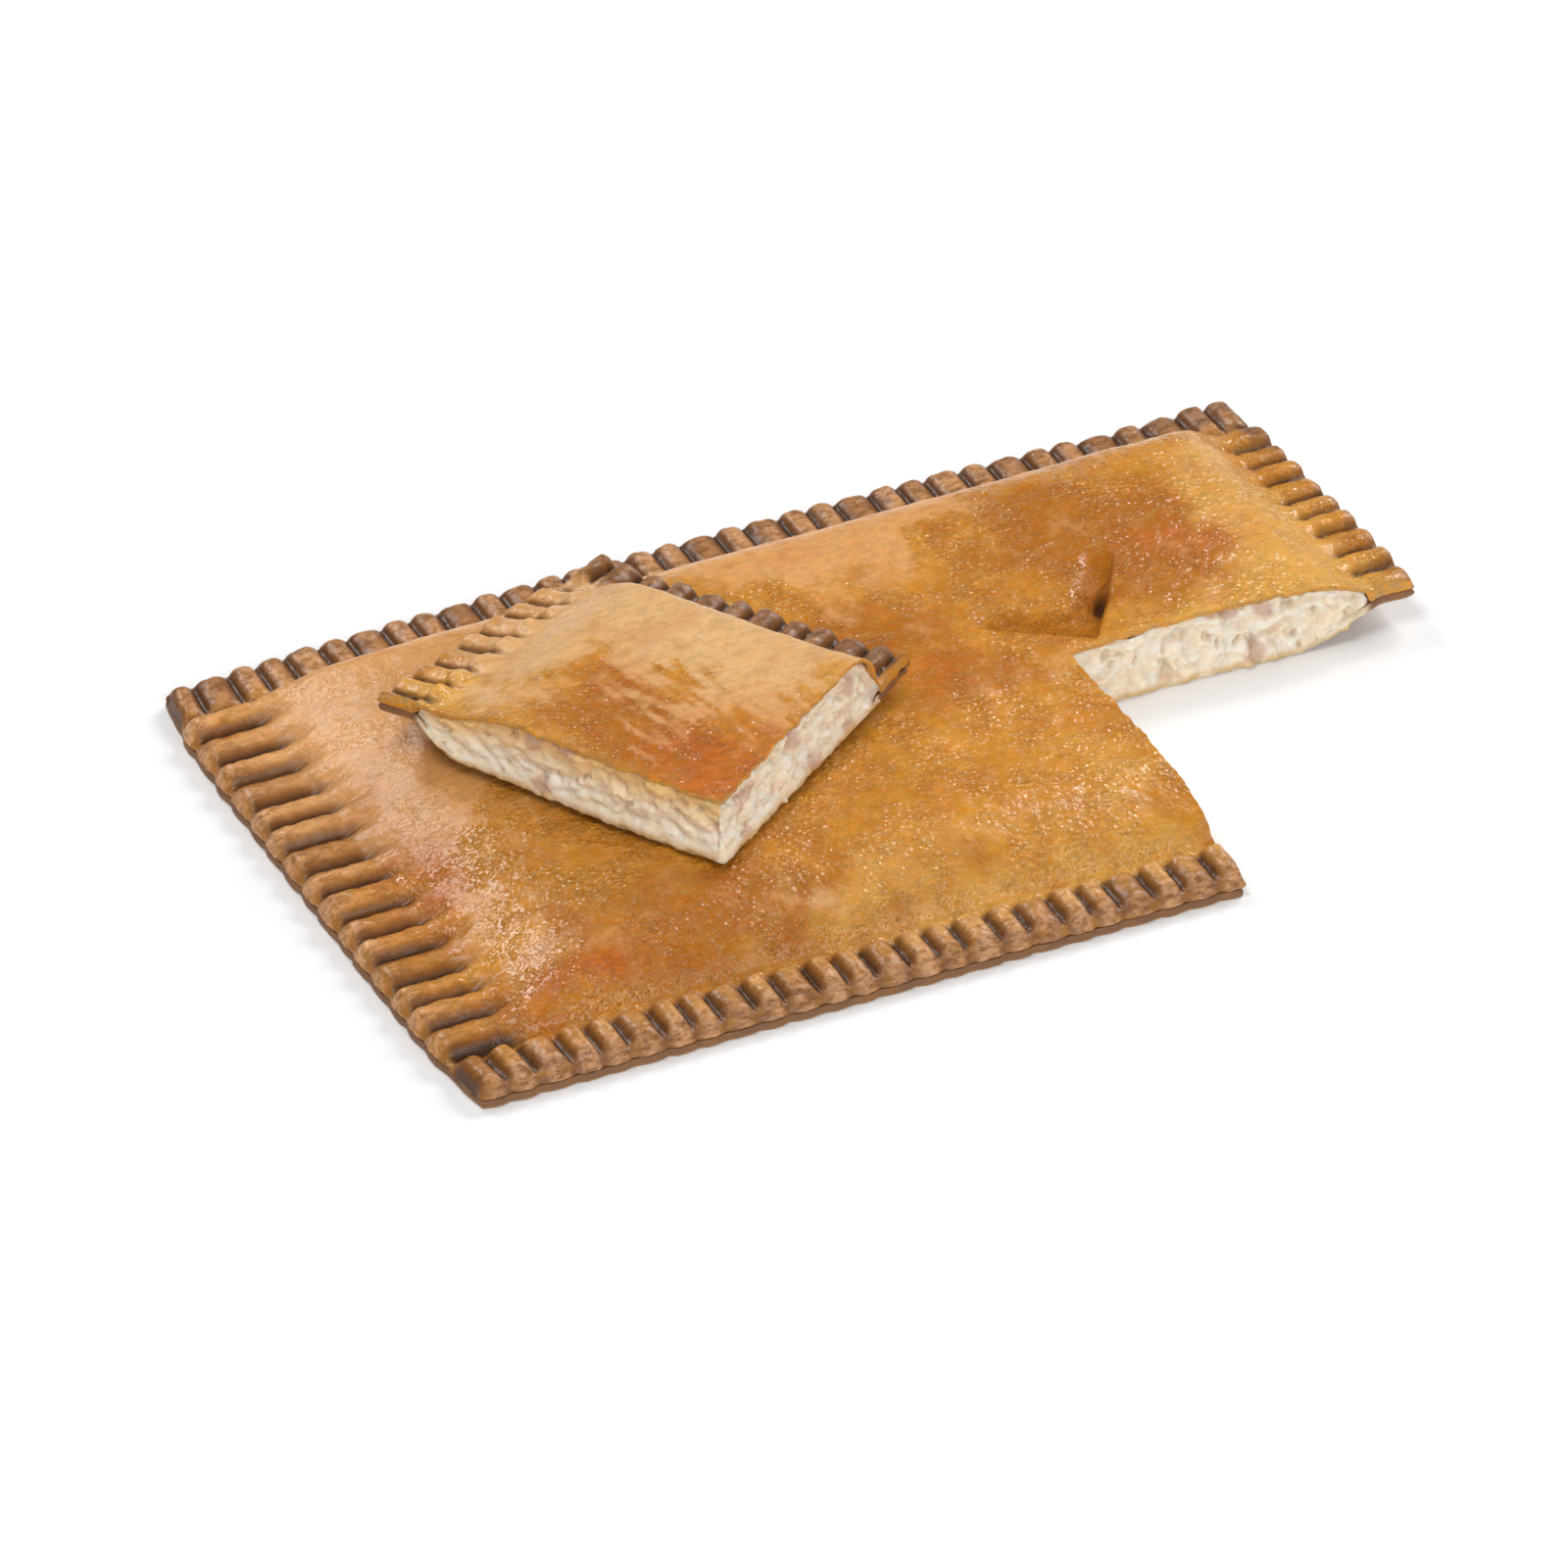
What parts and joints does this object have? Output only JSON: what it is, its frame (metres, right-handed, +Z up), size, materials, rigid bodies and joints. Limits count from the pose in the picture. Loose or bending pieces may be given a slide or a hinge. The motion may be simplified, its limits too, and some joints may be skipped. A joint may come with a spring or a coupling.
{
  "type": "empanada",
  "caption": "Rectangular baked empanada with a crimped rim and a domed golden crust; one corner is cut out to show the pale filling, and lies turned on top.",
  "frame": {"origin": "middle of the empanada's rectangle, at the height of the surface it lies on", "axes": "+X along the long sides towards the cut-out corner's end, +Y away from the viewer towards the uncut long side, +Z up"},
  "size_m": [0.3028, 0.1946, 0.0403],
  "materials": {
    "baked_crust": "egg-washed, golden to dark brown, softly glossy",
    "pale_filling": "moist, lumpy, cream-coloured",
    "base_dough": "dry, pale at the cut and brown outside"
  },
  "bodies": {
    "root": {"top_crust": "baked_crust", "filling": "pale_filling", "bottom_crust": "base_dough", "corner_top_crust": "baked_crust", "corner_filling": "pale_filling", "corner_bottom_crust": "base_dough"}
  },
  "joints": []
}
